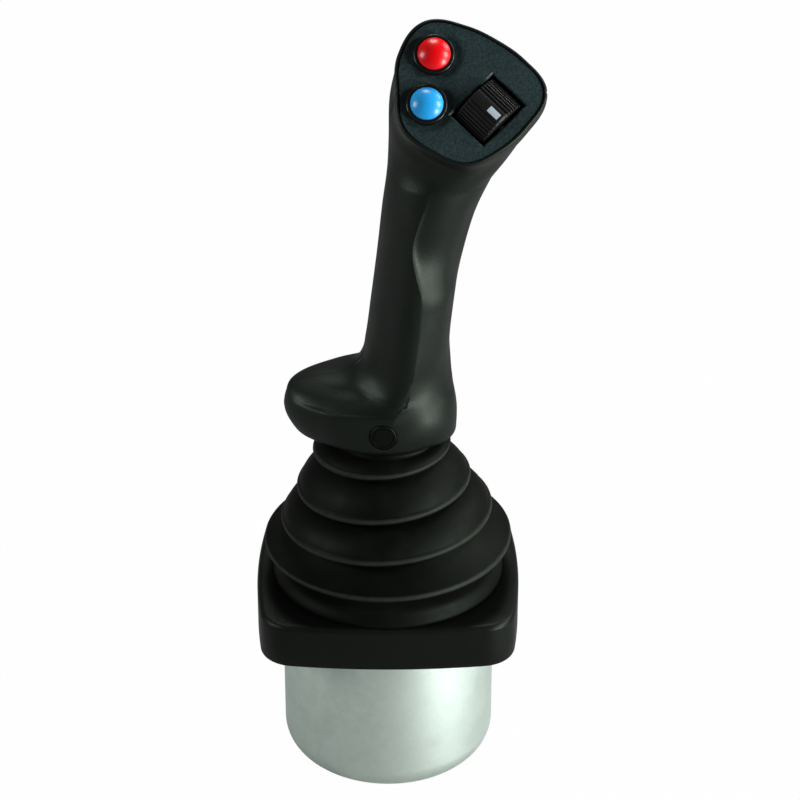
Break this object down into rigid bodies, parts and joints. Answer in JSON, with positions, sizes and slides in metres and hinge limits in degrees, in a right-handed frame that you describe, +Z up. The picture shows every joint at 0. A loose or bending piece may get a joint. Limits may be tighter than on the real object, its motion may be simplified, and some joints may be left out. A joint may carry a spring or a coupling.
{
  "type": "industrial joystick",
  "caption": "Panel-mounted two-axis industrial joystick: left-hand grip with two push-buttons and a thumb roller, bellows, square bezel and deep-drawn can.",
  "frame": {"origin": "centre of the panel seat, on the lever's axis at the underside of the mounting plate", "axes": "+Z up the lever, +X to the operator's right, +Y away from the operator"},
  "size_m": [0.0961, 0.0854, 0.2748],
  "materials": {
    "bezel_plastic": "satin moulded black plastic, fine spark texture",
    "zinc_screw": "bright zinc plating",
    "zinc_plate": "zinc-plated sheet steel",
    "zinc_can": "deep-drawn steel, pale zinc plating with a slight green cast, cloudy",
    "rubber": "matt black rubber",
    "cast_aluminium": "die-cast",
    "steel_pin": "ground steel",
    "spring_steel": "bright spring wire",
    "circuit_board": "green solder mask",
    "sensor_black": "black epoxy package",
    "bellows_rubber": "smooth matt black rubber with a soft sheen on the lips",
    "bronze": "sintered bronze",
    "magnet": "nickel-plated magnet",
    "clamp_aluminium": "turned aluminium",
    "black_screw": "black oxide",
    "grip_plastic": "satin moulded black plastic, fine texture, slight cool sheen",
    "face_plastic": "dark blue-grey plastic, coarse spark texture",
    "collar_plastic": "smooth black plastic",
    "red_plastic": "glossy red",
    "blue_plastic": "glossy blue",
    "roller_plastic": "smooth black plastic, ribbed"
  },
  "bodies": {
    "base": {"bezel": "bezel_plastic", "bezel_screws": "zinc_screw", "mounting_plate": "zinc_plate", "can": "zinc_can", "cable_grommet": "rubber", "gimbal_body": "cast_aluminium", "body_screws": "zinc_screw", "yoke_pins": "steel_pin", "pitch_springs": "spring_steel", "sensor_board": "circuit_board", "board_posts": "zinc_screw", "hall_sensor": "sensor_black", "bellows": "bellows_rubber"},
    "yoke": {"gimbal_yoke": "cast_aluminium", "yoke_bushes": "bronze", "lever_bushes": "bronze", "roll_springs": "spring_steel"},
    "lever": {"lever_hub": "cast_aluminium", "lever_pin": "steel_pin", "lever_shaft": "steel_pin", "sensor_tail": "clamp_aluminium", "sensor_magnet": "magnet", "bellows_collar": "clamp_aluminium", "grip_clamp": "clamp_aluminium", "clamp_screw": "black_screw", "clamp_plug": "grip_plastic", "grip_front_shell": "grip_plastic", "grip_rear_shell": "grip_plastic", "shell_screws": "zinc_screw", "face_plate": "face_plastic", "red_button_housing": "collar_plastic", "blue_button_housing": "collar_plastic", "red_button_spring": "spring_steel", "blue_button_spring": "spring_steel", "roller_cradle": "collar_plastic", "roller_axle": "steel_pin", "roller_spring": "spring_steel"},
    "red_button": {"red_button_cap": "red_plastic"},
    "blue_button": {"blue_button_cap": "blue_plastic"},
    "thumb_wheel": {"thumb_roller": "roller_plastic"}
  },
  "joints": [
    {"name": "lever_fore_aft", "type": "hinge", "parent": "base", "child": "yoke", "pos_m": [0, 0, 0.022], "axis": [1, 0, 0], "range_deg": [-18, 18], "stiffness_Nm_per_rad": 3, "deforming": ["pitch_springs", "bellows"]},
    {"name": "lever_left_right", "type": "hinge", "parent": "yoke", "child": "lever", "pos_m": [0, 0, 0.022], "axis": [0, 1, 0], "range_deg": [-18, 18], "stiffness_Nm_per_rad": 3, "deforming": ["roll_springs"]},
    {"name": "red_button_press", "type": "slide", "parent": "lever", "child": "red_button", "axis": [0, 0.766, -0.6428], "range_m": [0, 0.0022], "stiffness_N_per_m": 600, "springref_m": -0.002, "deforming": ["red_button_spring"]},
    {"name": "blue_button_press", "type": "slide", "parent": "lever", "child": "blue_button", "axis": [0, 0.766, -0.6428], "range_m": [0, 0.0022], "stiffness_N_per_m": 600, "springref_m": -0.002, "deforming": ["blue_button_spring"]},
    {"name": "thumb_roll", "type": "hinge", "parent": "lever", "child": "thumb_wheel", "pos_m": [0.0319, -0.00681, 0.18957], "axis": [0.7071, -0.4545, -0.5417], "range_deg": [-30, 30], "stiffness_Nm_per_rad": 0.01, "deforming": ["roller_spring"]}
  ]
}
